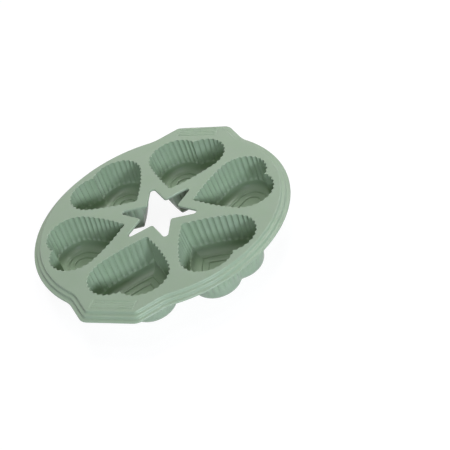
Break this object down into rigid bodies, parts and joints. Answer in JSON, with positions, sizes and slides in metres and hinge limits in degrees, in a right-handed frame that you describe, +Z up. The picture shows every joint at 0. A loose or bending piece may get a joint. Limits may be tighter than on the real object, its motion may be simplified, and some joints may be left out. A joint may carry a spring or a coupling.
{
  "type": "heart silicone baking mould",
  "caption": "Round flexible baking mould with fluted heart cups, stepped cup floors, a star-shaped vent, a stepped rim and ribbed grip tabs.",
  "frame": {"origin": "middle of the plane that the cups stand on, under the middle of the star vent", "axes": "+Z up through the open mouths of the cups, +X from the middle to one grip tab, +Y to the side between the tabs"},
  "size_m": [0.224, 0.204, 0.0342],
  "materials": {
    "silicone": "matte sage green food-grade silicone with a soft satin sheen"
  },
  "bodies": {
    "root": {"deck": "silicone", "rim": "silicone", "grip_pad_right": "silicone", "grip_pad_left": "silicone", "heart_cup_1": "silicone", "heart_cup_2": "silicone", "heart_cup_3": "silicone", "heart_cup_4": "silicone", "heart_cup_5": "silicone", "heart_cup_6": "silicone"}
  },
  "joints": []
}
